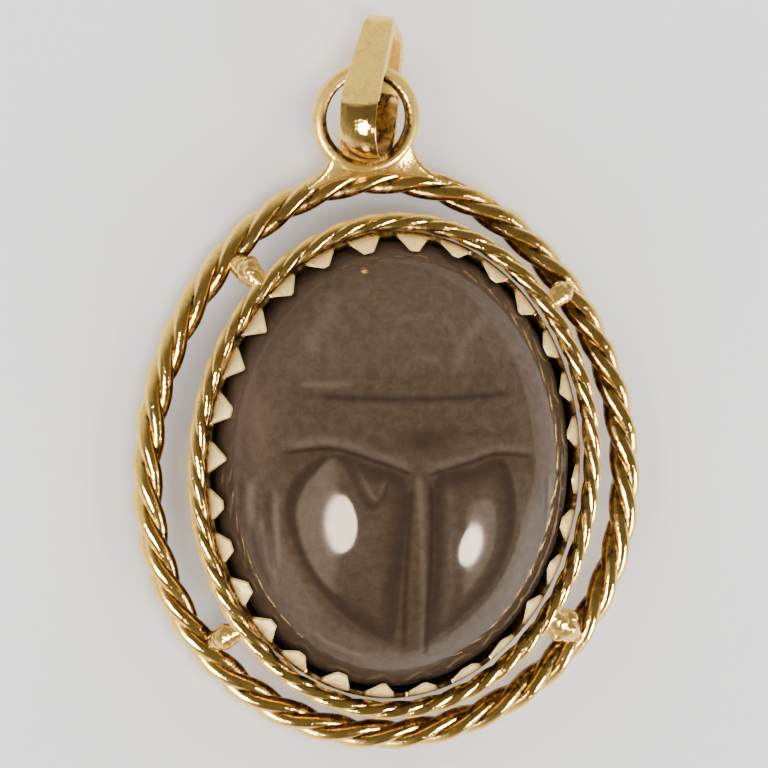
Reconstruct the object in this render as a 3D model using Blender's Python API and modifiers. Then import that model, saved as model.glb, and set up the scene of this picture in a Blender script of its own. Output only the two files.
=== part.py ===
"""Scarab pendant: a carved stone scarab in a gold sawtooth bezel, with two twisted-wire frames and a bail.

The pendant lies on its back plate: +Z is up out of the scarab, +Y runs towards the bail and +X is to
the right as the scarab is seen. The origin is at the middle of the back plate's underside.
"""
import math

import bmesh
import bpy
import numpy as np
from mathutils import Matrix, Vector

MM = 0.001

# Fits between soldered or seated pieces
SOLDER_GAP = 0.04 * MM
STONE_GAP = 0.06 * MM
REST_GAP = 0.02 * MM
WELD = 1e-8

# Carved stone
STONE_WIDTH = 15.6 * MM
STONE_LENGTH = 19.1 * MM
STONE_SIDE = 1.14 * MM
STONE_DOME = 4.9 * MM
STONE_FOOT_INSET = 0.35 * MM
DOME_FULLNESS = 2.1
DOME_SHOULDER = 0.75
STONE_STEPS = 56
DOME_RINGS = 10

# Carved lines of the scarab, as shares of the stone's half width and half length
GROOVE_RADIUS = 0.19 * MM
GROOVE_LIFT = 0.03 * MM
THORAX_LINE_Y = 0.365
THORAX_LINE_REACH = 0.63
VEE_APEX_Y = 0.042
VEE_RISE = 0.104
VEE_PEAK_X = 0.555
VEE_REACH = 0.71
SUTURE_X = 0.062
SUTURE_START_Y = -0.005
SUTURE_END_Y = -0.82
WING_CENTRE_Y = -0.094
WING_REACH_X = 0.63
WING_REACH_Y = 0.594
WING_START = math.radians(-6)
WING_END = math.radians(-74)
MARK_X = 0.29
MARK_TIP_Y = -0.11
MARK_HALF_WIDTH = 0.11
MARK_TOP_Y = 0.06
LEG_LINE_X = 0.806
LEG_LINE_TOP_Y = 0.042
LEG_LINE_END_Y = -0.4

# Bezel cup
PLATE = 0.5 * MM
WALL = 0.34 * MM
RIM_COVER = 0.3 * MM
RIM_HEIGHT = PLATE + STONE_GAP + STONE_SIDE + RIM_COVER
SHOULDER_DROP = 0.2 * MM
SHOULDER_LEAN = 0.06 * MM
TOOTH_COUNT = 28
TOOTH_HEIGHT = 0.62 * MM
TOOTH_LEAN = 0.5 * MM
TOOTH_THICKNESS = 0.18 * MM
TOOTH_ROOT_DROP = 0.3 * MM
TOOTH_BASE = 0.9
TOOTH_TIP = 0.2

# Twisted wires
INNER_ROPE = 0.8 * MM
INNER_ROPE_HEIGHT = 2.28 * MM
INNER_STRANDS_ROUND = 51
OUTER_ROPE = 1.14 * MM
OUTER_ROPE_HEIGHT = 1.05 * MM
OUTER_STRANDS_ROUND = 45
FRAME_GAP_SIDE = 0.8 * MM
FRAME_GAP_END = 0.51 * MM
OUTER_NARROWING = 0.07
OUTER_LEAN = -0.033
OUTER_SHIFT_X = -0.02 * MM
OUTER_SHIFT_Y = 0.2 * MM
STRANDS = 3
NOTCH = 0.68
SECTIONS_PER_STRAND = 4

# Solder balls that tie the two wires, by the side they stand on
BALL = 0.9 * MM
BALL_ANGLES = {
    "upper_left": math.radians(124),
    "upper_right": math.radians(43),
    "lower_left": math.radians(222.5),
    "lower_right": math.radians(314),
}

# Hanging ring
RING_OUTER = 4.72 * MM
RING_WIRE = 0.66 * MM
RING_TURN = math.radians(92.2)
RING_RISE = 0.68 * MM
RING_FOOT_WIDTH = 3.9 * MM
RING_FOOT_DEPTH = 1.1 * MM
RING_FOOT_HEIGHT = 0.95 * MM

# Strip bail
BAIL_PLAY = 0.9 * MM
BAIL_WIDTH = RING_OUTER - 2 * RING_WIRE - 2 * BAIL_PLAY
BAIL_TOP_WIDTH = 1.28 * MM
BAIL_STRIP = 0.28 * MM
BAIL_BEND = 1.81 * MM
BAIL_CORNER = 0.55 * MM
BAIL_TOP_FLAT = 1.09 * MM
BAIL_REACH = 3.4 * MM
BAIL_LEAN = math.radians(30.6)
BAIL_SWING = math.radians(19.2)
BAIL_SIDEWAYS = -0.08 * MM
BAIL_FORWARD = 0.36 * MM
BAIL_RISE = 0.88 * MM
BAIL_ARC_STEPS = 7
SETTLING_ROUNDS = 20


def clear_scene():
    """Remove whatever the file holds."""
    for thing in list(bpy.data.objects):
        bpy.data.objects.remove(thing, do_unlink=True)


def collection(name):
    """A named collection in the scene."""
    made = bpy.data.collections.new(name)
    bpy.context.scene.collection.children.link(made)
    return made


def material(name, colour, roughness, metallic, transmission=0.0):
    """A Principled material with the part's colour."""
    made = bpy.data.materials.new(name)
    made.use_nodes = True
    shader = made.node_tree.nodes["Principled BSDF"]
    shader.inputs["Base Color"].default_value = (*colour, 1.0)
    shader.inputs["Roughness"].default_value = roughness
    shader.inputs["Metallic"].default_value = metallic
    shader.inputs["Transmission Weight"].default_value = transmission
    made.diffuse_color = (*colour, 1.0)
    return made


def add_object(name, data, home, look=None):
    """A new object for mesh or curve data, linked to its collection."""
    made = bpy.data.objects.new(name, data)
    home.objects.link(made)
    if look is not None:
        data.materials.append(look)
    return made


def take_primitive(name, home, look):
    """Name the primitive just added and move it to its collection."""
    made = bpy.context.active_object
    made.name = name
    made.data.name = name
    for place in list(made.users_collection):
        place.objects.unlink(made)
    home.objects.link(made)
    made.data.materials.append(look)
    made.data.shade_smooth()
    made.data.set_sharp_from_angle(angle=math.radians(50))
    return made


def make_guide(thing):
    """Mark a cutter or profile as a guide, left out of the part."""
    thing.hide_render = True
    thing.display_type = "WIRE"


def poly_curve(name, runs, closed, home, look=None):
    """A poly curve with one spline for each run of points."""
    data = bpy.data.curves.new(name, "CURVE")
    data.dimensions = "3D"
    data.twist_mode = "Z_UP"
    for run in runs:
        spline = data.splines.new("POLY")
        spline.points.add(len(run) - 1)
        for point, place in zip(spline.points, run):
            point.co = (*place, 1.0)
        spline.use_cyclic_u = closed
    return add_object(name, data, home, look)


def curve_to_mesh(thing):
    """Replace a curve object by its welded mesh, in the same place."""
    bpy.context.view_layer.update()
    graph = bpy.context.evaluated_depsgraph_get()
    data = bpy.data.meshes.new_from_object(thing.evaluated_get(graph))
    work = bmesh.new()
    work.from_mesh(data)
    bmesh.ops.remove_doubles(work, verts=work.verts, dist=WELD)
    bmesh.ops.recalc_face_normals(work, faces=work.faces)
    work.to_mesh(data)
    work.free()
    name = thing.name
    home = thing.users_collection[0]
    place = thing.matrix_world.copy()
    bpy.data.objects.remove(thing)
    made = add_object(name, data, home)
    made.matrix_world = place
    return made


def boolean(thing, operation, cutter):
    """Join or cut a mesh with another that stays a guide."""
    step = thing.modifiers.new(operation.title(), "BOOLEAN")
    step.operation = operation
    step.solver = "EXACT"
    step.object = cutter


def even_turns(outline, count):
    """Turn values that step evenly along a closed outline, given as a function of the turn."""
    fine = np.linspace(0.0, 2.0 * math.pi, 2000)
    places = np.array([outline(turn) for turn in fine])
    steps = np.linalg.norm(np.diff(places, axis=0), axis=1)
    travelled = np.concatenate([[0.0], np.cumsum(steps)])
    wanted = travelled[-1] * np.arange(count) / count
    return np.interp(wanted, travelled, fine)


def stone_height(x, y):
    """Height of the uncarved dome at a place on the stone."""
    share = math.hypot(2.0 * x / STONE_WIDTH, 2.0 * y / STONE_LENGTH)
    dome = max(0.0, 1.0 - min(1.0, share) ** DOME_FULLNESS) ** DOME_SHOULDER
    return PLATE + STONE_GAP + STONE_SIDE + STONE_DOME * dome


def groove_run(shares):
    """Lay a carved line on the dome, from shares of the stone's half width and half length."""
    run = []
    for across, along in shares:
        x = across * STONE_WIDTH / 2
        y = along * STONE_LENGTH / 2
        run.append((x, y, stone_height(x, y) + GROOVE_LIFT))
    return run


def carved_lines():
    """Every carved line: thorax, vee, sutures, wing cases, shoulder marks and legs."""
    lines = []
    lines.append([(x, THORAX_LINE_Y) for x in np.linspace(-THORAX_LINE_REACH, THORAX_LINE_REACH, 11)])
    vee = []
    for x in np.linspace(-VEE_REACH, VEE_REACH, 13):
        vee.append((x, VEE_APEX_Y + VEE_RISE * math.sin(0.5 * math.pi * abs(x) / VEE_PEAK_X)))
    lines.append(vee)
    for side in (-1, 1):
        lines.append([(side * SUTURE_X, y) for y in np.linspace(SUTURE_START_Y, SUTURE_END_Y, 8)])
        wing = []
        for turn in np.linspace(WING_START, WING_END, 9):
            across = side * WING_REACH_X * math.cos(turn)
            wing.append((across, WING_CENTRE_Y + WING_REACH_Y * math.sin(turn)))
        lines.append(wing)
        mark = []
        for across, y in ((-1, MARK_TOP_Y), (0, MARK_TIP_Y), (1, MARK_TOP_Y)):
            mark.append((side * MARK_X + across * MARK_HALF_WIDTH, y))
        lines.append(mark)
        leg_ys = np.linspace(LEG_LINE_TOP_Y, LEG_LINE_END_Y, 4)
        lines.append([(side * LEG_LINE_X, y) for y in leg_ys])
    return lines


def make_stone(home, cutters, look):
    """The scarab stone: a turned dome drawn out to an oval, with its lines cut as vee grooves."""
    foot = PLATE + STONE_GAP
    girdle = foot + STONE_SIDE
    half = STONE_WIDTH / 2
    profile = [(0.0, stone_height(0.0, 0.0))]
    for ring in range(1, DOME_RINGS + 1):
        share = math.sin(0.5 * math.pi * ring / DOME_RINGS)
        profile.append((half * share, stone_height(half * share, 0.0)))
    profile += [(half, girdle - STONE_SIDE / 2), (half - STONE_FOOT_INSET, foot), (0.0, foot)]
    work = bmesh.new()
    verts = [work.verts.new((x, 0.0, z)) for x, z in profile]
    for first, second in zip(verts, verts[1:]):
        work.edges.new((first, second))
    bmesh.ops.remove_doubles(work, verts=work.verts, dist=WELD)
    data = bpy.data.meshes.new("scarab_stone")
    work.to_mesh(data)
    work.free()
    stone = add_object("scarab_stone", data, home, look)
    turn = stone.modifiers.new("Turn", "SCREW")
    turn.steps = STONE_STEPS
    turn.render_steps = STONE_STEPS
    turn.use_merge_vertices = True
    turn.merge_threshold = WELD
    stone.scale = (1.0, STONE_LENGTH / STONE_WIDTH, 1.0)
    grooves = poly_curve("carving", [groove_run(line) for line in carved_lines()], False, cutters)
    grooves.data.bevel_depth = GROOVE_RADIUS
    grooves.data.bevel_resolution = 0
    grooves.data.use_fill_caps = True
    grooves = curve_to_mesh(grooves)
    make_guide(grooves)
    boolean(stone, "DIFFERENCE", grooves)
    return stone


def bezel_outline(grow, height):
    """The bezel's oval at a distance outside the stone, as a function of the turn."""
    half_width = STONE_WIDTH / 2 + grow
    half_length = STONE_LENGTH / 2 + grow
    return lambda turn: Vector((half_width * math.cos(turn), half_length * math.sin(turn), height))


def make_bezel(home, look):
    """The bezel cup: back plate, wall and the sawtooth edge that leans over the stone."""
    pitch = 1.0 / TOOTH_COUNT
    fine = even_turns(bezel_outline(STONE_GAP, 0.0), 1400)
    turns = []
    toothed = []
    for tooth in range(TOOTH_COUNT):
        middle = (tooth + 0.5) * pitch
        for across, tip in ((-TOOTH_BASE, 0), (-TOOTH_TIP, 1), (TOOTH_TIP, 1), (TOOTH_BASE, 0)):
            share = (middle + across * pitch / 2) * len(fine)
            turns.append(float(np.interp(share, np.arange(len(fine)), fine)))
            toothed.append(tip)
    inner = STONE_GAP
    outer = STONE_GAP + WALL + SHOULDER_LEAN
    rim_outer = STONE_GAP + WALL
    tip_outer = rim_outer - TOOTH_LEAN
    tip_inner = tip_outer - TOOTH_THICKNESS
    tip_height = RIM_HEIGHT + TOOTH_HEIGHT
    tip_drop = TOOTH_THICKNESS / 2
    # Each ring: distance outside the stone and height, in the valleys and then at the tooth tips
    rings = [
        ((outer, 0.0), (outer, 0.0)),
        ((outer, RIM_HEIGHT - SHOULDER_DROP), (outer, RIM_HEIGHT - SHOULDER_DROP)),
        ((rim_outer, RIM_HEIGHT), (tip_outer, tip_height)),
        ((inner, RIM_HEIGHT), (tip_inner, tip_height - tip_drop)),
        ((inner, RIM_HEIGHT - TOOTH_ROOT_DROP), (inner, RIM_HEIGHT - TOOTH_ROOT_DROP)),
        ((inner, PLATE), (inner, PLATE)),
    ]
    work = bmesh.new()
    loops = []
    for valley, tip in rings:
        loop = []
        for turn, is_tip in zip(turns, toothed):
            grow, height = tip if is_tip else valley
            loop.append(work.verts.new(bezel_outline(grow, height)(turn)))
        loops.append(loop)
    count = len(turns)
    for lower, upper in zip(loops, loops[1:]):
        for at in range(count):
            after = (at + 1) % count
            work.faces.new((lower[at], lower[after], upper[after], upper[at]))
    work.faces.new(list(reversed(loops[0])))
    work.faces.new(loops[-1])
    bmesh.ops.triangulate(work, faces=work.faces)
    data = bpy.data.meshes.new("bezel_cup")
    work.to_mesh(data)
    work.free()
    return add_object("bezel_cup", data, home, look)


def bezel_reach():
    """How far the bezel's wall stands outside the stone."""
    return STONE_GAP + WALL + SHOULDER_LEAN


def inner_rope_line(turn):
    """Centre line of the twisted wire that hugs the bezel."""
    grow = bezel_reach() + SOLDER_GAP + INNER_ROPE / 2
    return bezel_outline(grow, INNER_ROPE_HEIGHT)(turn)


def outer_rope_line(turn):
    """Centre line of the outer twisted wire: an egg, narrower towards the ring, leaning a little."""
    grow = bezel_reach() + SOLDER_GAP + INNER_ROPE + OUTER_ROPE / 2
    half_width = STONE_WIDTH / 2 + grow + FRAME_GAP_SIDE
    half_length = STONE_LENGTH / 2 + grow + FRAME_GAP_END
    across = half_width * math.cos(turn) * (1.0 - OUTER_NARROWING * math.sin(turn))
    along = half_length * math.sin(turn)
    return Vector((OUTER_SHIFT_X + across + OUTER_LEAN * along, OUTER_SHIFT_Y + along, OUTER_ROPE_HEIGHT))


def strand_profile(name, thickness, cutters):
    """Cross-section of a twisted wire: a ridge for each strand, with a notch between."""
    points = []
    for step in range(2 * STRANDS):
        turn = -math.pi * step / STRANDS
        reach = thickness / 2 * (NOTCH if step % 2 else 1.0)
        points.append((reach * math.cos(turn), reach * math.sin(turn), 0.0))
    profile = poly_curve(name, [points], True, cutters)
    profile.data.dimensions = "2D"
    make_guide(profile)
    return profile


def make_rope(name, line, thickness, strands_round, home, cutters, look):
    """A closed rope: the strand profile carried round the centre line and twisted as it goes."""
    sections = strands_round * SECTIONS_PER_STRAND
    run = [line(turn) for turn in even_turns(line, sections)]
    rope = poly_curve(name, [run], True, home, look)
    twist = 2.0 * math.pi / (STRANDS * SECTIONS_PER_STRAND)
    for step, point in enumerate(rope.data.splines[0].points):
        point.tilt = step * twist
    rope.data.bevel_mode = "OBJECT"
    rope.data.bevel_object = strand_profile(name + "_section", thickness, cutters)
    return rope


def nearest_on(line, place):
    """The point of a closed line nearest to a place."""
    turns = np.linspace(0.0, 2.0 * math.pi, 1441)
    return min((line(turn) for turn in turns), key=lambda point: (point - place).length)


def make_ball(side, angle, home, look):
    """One solder ball, lodged between the two twisted wires and filling a gap that is wider than it."""
    guess = Vector((math.cos(angle), math.sin(angle), 0.0)) * STONE_LENGTH / 2
    inside = nearest_on(inner_rope_line, guess)
    outside = nearest_on(outer_rope_line, inside)
    across = outside - inside
    spread = across.length
    inner_reach = INNER_ROPE / 2 + SOLDER_GAP
    outer_reach = OUTER_ROPE / 2 + SOLDER_GAP
    radius = max(BALL / 2, (spread - inner_reach - outer_reach) / 2)
    inner_reach += radius
    outer_reach += radius
    along = (inner_reach**2 - outer_reach**2 + spread**2) / (2 * spread)
    rise = math.sqrt(max(0.0, inner_reach**2 - along**2))
    way = across.normalized()
    upward = Vector((0.0, 0.0, 1.0))
    upward = (upward - way * upward.dot(way)).normalized()
    centre = inside + way * along + upward * rise
    bpy.ops.mesh.primitive_uv_sphere_add(segments=10, ring_count=7, radius=radius, location=centre)
    return take_primitive("solder_ball_" + side, home, look)


def ring_centre():
    """Centre of the hanging ring, whose wire sits on the outer wire's shoulder."""
    top = outer_rope_line(RING_TURN)
    touch = (OUTER_ROPE + RING_WIRE) / 2 + SOLDER_GAP
    beyond = math.sqrt(touch**2 - RING_RISE**2)
    return Vector((top.x, top.y + beyond + (RING_OUTER - RING_WIRE) / 2, top.z + RING_RISE))


def make_ring(home, cutters, look):
    """The hanging ring with its soldered foot, hollowed to sit over the outer wire."""
    centre = ring_centre()
    bpy.ops.mesh.primitive_torus_add(
        major_radius=(RING_OUTER - RING_WIRE) / 2,
        minor_radius=RING_WIRE / 2,
        major_segments=28,
        minor_segments=8,
        location=centre,
    )
    ring = take_primitive("hanging_ring", home, look)
    top = outer_rope_line(RING_TURN)
    foot_centre = Vector((top.x, top.y + OUTER_ROPE / 2, (centre.z + top.z) / 2))
    bpy.ops.mesh.primitive_uv_sphere_add(segments=16, ring_count=6, radius=0.5, location=foot_centre)
    foot = take_primitive("ring_foot", cutters, look)
    foot.scale = (RING_FOOT_WIDTH, RING_FOOT_DEPTH, RING_FOOT_HEIGHT)
    make_guide(foot)
    stretch = RING_FOOT_WIDTH / STONE_WIDTH
    turns = np.linspace(RING_TURN - stretch, RING_TURN + stretch, 15)
    seat = poly_curve("ring_seat", [[outer_rope_line(turn) for turn in turns]], False, cutters)
    seat.data.bevel_depth = OUTER_ROPE / 2 + SOLDER_GAP
    seat.data.bevel_resolution = 3
    seat.data.use_fill_caps = True
    seat = curve_to_mesh(seat)
    make_guide(seat)
    boolean(ring, "UNION", foot)
    boolean(ring, "DIFFERENCE", seat)
    return ring


def hull_path(circles, steps):
    """Closed path drawn tightly round circles, each given as (x, y, radius), anticlockwise."""
    count = len(circles)
    leaving = []
    for at, (x, y, radius) in enumerate(circles):
        next_x, next_y, next_radius = circles[(at + 1) % count]
        apart = math.hypot(next_x - x, next_y - y)
        heading = math.atan2(next_y - y, next_x - x)
        leaving.append(heading - math.acos((radius - next_radius) / apart))
    path = []
    for at, (x, y, radius) in enumerate(circles):
        start = leaving[at - 1]
        sweep = (leaving[at] - start) % (2.0 * math.pi)
        for step in range(steps + 1):
            turn = start + sweep * step / steps
            path.append((x + radius * math.cos(turn), y + radius * math.sin(turn), 0.0))
    return path


def bail_axes(dip):
    """The bail's own directions when its top dips: depth from back limb to front, length and width."""
    level = math.cos(dip)
    length = Vector((math.sin(BAIL_SWING) * level, math.cos(BAIL_SWING) * level, -math.sin(dip)))
    upright = Vector((-math.sin(BAIL_LEAN), 0.0, math.cos(BAIL_LEAN)))
    depth = (upright - length * upright.dot(length)).normalized()
    return depth, length, depth.cross(length)


def bail_pose():
    """Place and directions of the bail as it lies: bend over the ring's hole, top on the table."""
    place = ring_centre() + Vector((BAIL_SIDEWAYS, BAIL_FORWARD, BAIL_RISE))
    dip = 0.0
    for _ in range(SETTLING_ROUNDS):
        depth, length, width = bail_axes(dip)
        corner = (BAIL_CORNER + BAIL_STRIP / 2) * math.hypot(depth.z, length.z)
        corner += BAIL_TOP_FLAT / 2 * abs(depth.z) + BAIL_TOP_WIDTH / 2 * abs(width.z)
        dip = math.asin((place.z - REST_GAP - corner) / BAIL_REACH)
    return place, bail_axes(dip)


def make_bail(home, look):
    """The strip bail, narrower at its top, hooked through the ring and leaning as it lies."""
    corner_x = BAIL_TOP_FLAT / 2
    circles = [
        (0.0, 0.0, BAIL_BEND),
        (corner_x, BAIL_REACH, BAIL_CORNER),
        (-corner_x, BAIL_REACH, BAIL_CORNER),
    ]
    bail = poly_curve("bail", [hull_path(circles, BAIL_ARC_STEPS)], True, home)
    bail.data.extrude = BAIL_WIDTH / 2
    bail = curve_to_mesh(bail)
    bail.data.materials.append(look)
    for vert in bail.data.vertices:
        share = min(1.0, max(0.0, vert.co.y / BAIL_REACH))
        vert.co.z *= 1.0 + share * (BAIL_TOP_WIDTH / BAIL_WIDTH - 1.0)
    wall = bail.modifiers.new("Strip", "SOLIDIFY")
    wall.thickness = BAIL_STRIP
    wall.offset = 0.0
    place, axes = bail_pose()
    bail.matrix_world = Matrix.Translation(place) @ Matrix(axes).transposed().to_4x4()
    return bail


def build():
    """Make every piece of the pendant."""
    clear_scene()
    pendant = collection("scarab_pendant")
    cutters = collection("cutters")
    stone_look = material("smoky_stone", (0.145, 0.105, 0.08), 0.12, 0.0, 0.3)
    gold = material("gold", (0.86, 0.6, 0.27), 0.18, 1.0)
    make_stone(pendant, cutters, stone_look)
    make_bezel(pendant, gold)
    make_rope("inner_rope", inner_rope_line, INNER_ROPE, INNER_STRANDS_ROUND, pendant, cutters, gold)
    make_rope("outer_rope", outer_rope_line, OUTER_ROPE, OUTER_STRANDS_ROUND, pendant, cutters, gold)
    for side, angle in BALL_ANGLES.items():
        make_ball(side, angle, pendant, gold)
    make_ring(pendant, cutters, gold)
    make_bail(pendant, gold)


build()
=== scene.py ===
"""Scarab pendant: the finished look of the carved stone, its sawtooth bezel, twisted wires, ring and bail.

Every piece is built in place round the frame's nodes. +Z is up out of the scarab, +Y runs towards the
bail and +X is to the right as the scarab is seen.
"""
import math
import random

import bmesh
import bpy
import numpy as np
from bpy.props import FloatProperty, FloatVectorProperty, IntProperty, PointerProperty
from mathutils import Matrix, Vector


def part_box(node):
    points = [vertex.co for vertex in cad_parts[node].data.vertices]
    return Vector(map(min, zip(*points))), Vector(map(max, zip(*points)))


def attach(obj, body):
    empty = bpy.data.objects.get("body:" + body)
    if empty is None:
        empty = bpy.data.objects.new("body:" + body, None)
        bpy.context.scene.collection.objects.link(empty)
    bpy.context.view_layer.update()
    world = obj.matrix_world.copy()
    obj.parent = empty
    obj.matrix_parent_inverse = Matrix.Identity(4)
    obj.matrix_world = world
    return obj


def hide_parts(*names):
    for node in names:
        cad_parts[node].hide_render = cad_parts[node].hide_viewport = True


bl_info = {
    "name": "Scarab pendant",
    "version": (1, 0, 0),
    "blender": (4, 5, 0),
    "location": "View3D > Sidebar > Pendant",
    "description": "Builds a carved scarab in a gold sawtooth bezel with twisted wires and a strip bail",
    "category": "Add Mesh",
}

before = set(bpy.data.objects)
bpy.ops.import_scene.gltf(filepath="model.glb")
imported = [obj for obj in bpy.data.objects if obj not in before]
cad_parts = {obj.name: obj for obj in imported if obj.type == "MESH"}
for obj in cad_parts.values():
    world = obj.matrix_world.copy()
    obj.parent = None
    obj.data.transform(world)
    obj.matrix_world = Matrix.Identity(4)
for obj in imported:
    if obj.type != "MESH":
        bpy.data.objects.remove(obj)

MM = 0.001
WELD = 1e-8
BODY = "root"

STONE_LOW, STONE_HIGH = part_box("scarab_stone")
STONE_HALF_WIDTH = (STONE_HIGH.x - STONE_LOW.x) / 2
STONE_HALF_LENGTH = (STONE_HIGH.y - STONE_LOW.y) / 2
CUP_LOW, CUP_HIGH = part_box("bezel_cup")
INNER_LOW, INNER_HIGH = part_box("inner_rope")
OUTER_LOW, OUTER_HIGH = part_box("outer_rope")
INNER_WIRE = INNER_HIGH.z - INNER_LOW.z
OUTER_WIRE = OUTER_HIGH.z - OUTER_LOW.z
RING_LOW, RING_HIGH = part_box("hanging_ring")
BAIL_LOW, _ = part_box("bail")
BALL_NODES = {
    "ball_upper_left": "solder_ball_upper_left",
    "ball_upper_right": "solder_ball_upper_right",
    "ball_lower_left": "solder_ball_lower_left",
    "ball_lower_right": "solder_ball_lower_right",
}

# Lines carved in the stone, in millimetres from its middle, as they are followed with the graver
COLLAR_RIDGE = ((-4.95, 4.12), (-3.7, 4.16), (-2.3, 4.18))
COLLAR_LINE = ((-4.88, 3.73), (-0.84, 3.49), (4.87, 3.23))
FAINT_LINE = ((-2.54, 2.31), (-0.97, 2.21), (1.23, 2.02), (5.16, 1.43))
VEE_LEFT = ((-5.78, 1.38), (-3.82, 1.67), (-2.16, 1.16), (-0.2, 0.33))
VEE_RIGHT = ((-0.2, 0.33), (2.04, 0.77), (3.48, 0.97), (5.58, 0.5))
SUTURE_LEFT = ((-0.54, 0.0), (-0.7, -2.52), (-0.65, -5.26), (-0.37, -7.61))
SUTURE_MIDDLE = ((-0.24, 0.45), (-0.04, -3.43), (0.37, -7.72))
SUTURE_RIGHT = ((0.26, 0.1), (0.31, -1.11), (0.38, -5.27), (0.68, -8.02))
CASE_LEFT = ((-4.8, 0.89), (-5.43, 0.03), (-5.63, -0.87), (-5.52, -1.87), (-5.04, -3.17), (-4.4, -4.38),
             (-3.63, -5.38), (-2.58, -6.34), (-1.43, -7.05), (-0.6, -7.3))
CASE_RIGHT = ((3.8, 0.7), (4.27, -0.37), (4.43, -1.48), (4.35, -2.68), (3.91, -4.09), (3.12, -5.3),
              (2.13, -6.25), (1.29, -6.91), (0.65, -7.21))
LENS_LEFT = ((-3.49, 1.11), (-4.52, 0.37), (-5.06, -0.67), (-5.09, -1.72), (-4.72, -3.03), (-3.97, -4.28),
             (-3.1, -4.96), (-3.31, -3.86), (-3, -2.67), (-2.55, -1.43))
LENS_RIGHT = ((2.97, -0.94), (3.33, -1.9), (3.22, -3.33), (2.58, -4.5), (1.69, -5.23), (1.29, -4.15),
              (1.1, -2.73), (1.63, -1.32))
MARK_LEFT = ((-3.27, 1.11), (-2.2, -0.95), (-1.28, 0.57))
MARK_EDGE = ((-2.95, 1.15), (-2.05, -0.6), (-1.62, 0.3))
LEG_LINES = (
    ((-6.64, -1.17), (-6.45, -2.87), (-5.94, -4.38)),
    ((-6.12, 0.18), (-6.07, -1.77), (-5.84, -4.38)),
    ((-6.9, 0.4), (-6.95, -1.2), (-6.7, -2.6)),
    ((-6.35, -1.6), (-6.2, -3.2), (-5.75, -4.9)),
    ((5.94, -0.31), (6.01, -1.42), (5.99, -2.63)),
    ((7.19, 1.06), (7.17, -1.15), (6.91, -3.47)),
)
FLANK_LINE = ((-4.5, -6.39), (-3.6, -7.23), (-1.61, -8.16))
HEAD_ARCH = ((-0.94, 5.24), (-0.61, 6.43), (0.64, 6.72), (1.85, 6.27), (1.87, 4.84))
HEAD_PLATE = ((-0.58, 4.42), (-0.19, 5.06), (0.96, 4.97), (1.18, 4.3))
CHEEK_RIGHT = ((4.09, 6.69), (2.96, 5.98), (2.23, 5.27), (1.64, 4.23))
CHEEK_LEFT = ((-2.56, 7.82), (-3.66, 6.32), (-4.17, 5.13))


class StoneSettings(bpy.types.PropertyGroup):
    """Sizes and colours of the carved stone."""

    side: FloatProperty(name="Side", description="Height of the stone's upright edge",
                        default=1.14 * MM, unit="LENGTH")
    fullness: FloatProperty(name="Fullness", description="How flat the dome's top is", default=2.1)
    shoulder: FloatProperty(name="Shoulder", description="How round the dome's edge is", default=0.75)
    foot_inset: FloatProperty(name="Foot inset", description="How far the underside is drawn in",
                              default=0.35 * MM, unit="LENGTH")
    carving: FloatProperty(name="Carving", description="Depth of the carving against the drawn depth",
                           default=0.45, subtype="FACTOR")
    facets: IntProperty(name="Facets", description="Steps of the carved mesh across the stone", default=300)
    colour: FloatVectorProperty(name="Colour", description="The stone's body colour", subtype="COLOR",
                                default=(0.064, 0.041, 0.025))
    # Pale: worn or frosted polish, and also a painted highlight along ridges, lips and the flank.
    pale: FloatVectorProperty(name="Pale", description="Colour where the polish is worn or frosted",
                              subtype="COLOR", default=(0.14, 0.105, 0.075))
    # Deep: painted shade in the cuts, the hollow and towards the rim, and dark random streaks.
    deep_tone_and_shade: FloatVectorProperty(name="Deep", description="Colour in the cuts", subtype="COLOR",
                              default=(0.021, 0.013, 0.009))


class GoldSettings(bpy.types.PropertyGroup):
    """Colours and polish of the gold."""

    colour: FloatVectorProperty(name="Colour", description="Colour of the gold", subtype="COLOR",
                                default=(0.92, 0.59, 0.16))
    # Tarnish in the notches, also used as painted shade on inward sides, undersides and insides.
    tarnish_and_shade_colour: FloatVectorProperty(name="Crevice", description="Colour of the tarnish in the notches",
                                 subtype="COLOR", default=(0.085, 0.042, 0.014))
    # Matte rubbed finish, also used as painted light on the sides that face the lamps.
    rubbed_and_lit: FloatVectorProperty(name="Rubbed", description="Colour of the gold where it is matte",
                                subtype="COLOR", default=(0.88, 0.58, 0.1))
    # The teeth are painted pale, as lit.
    pale: FloatVectorProperty(name="Pale", description="Colour of the rubbed teeth", subtype="COLOR",
                              default=(0.97, 0.71, 0.27))
    polish: FloatProperty(name="Polish", description="Roughness of the polished gold", default=0.11)
    satin: FloatProperty(name="Satin", description="Roughness of the rubbed gold", default=0.36)


class BezelSettings(bpy.types.PropertyGroup):
    """Sizes of the bezel cup."""

    plate: FloatProperty(name="Plate", description="Thickness of the back plate", default=0.5 * MM,
                         unit="LENGTH")
    wall: FloatProperty(name="Wall", description="Thickness of the collar", default=0.34 * MM, unit="LENGTH")
    seat: FloatProperty(name="Seat", description="Gap between collar and stone", default=0.06 * MM,
                        unit="LENGTH")
    shoulder_drop: FloatProperty(name="Shoulder drop", description="Depth of the sloping shoulder",
                                 default=0.2 * MM, unit="LENGTH")
    teeth: IntProperty(name="Teeth", description="Teeth round the collar", default=28)
    tooth_height: FloatProperty(name="Tooth height", description="Height of a tooth", default=0.62 * MM,
                                unit="LENGTH")
    tooth_lean: FloatProperty(name="Tooth lean", description="How far a tooth leans over the stone",
                              default=0.52 * MM, unit="LENGTH")
    tooth_thickness: FloatProperty(name="Tooth thickness", description="Thickness of a tooth's tip",
                                   default=0.16 * MM, unit="LENGTH")


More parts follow.
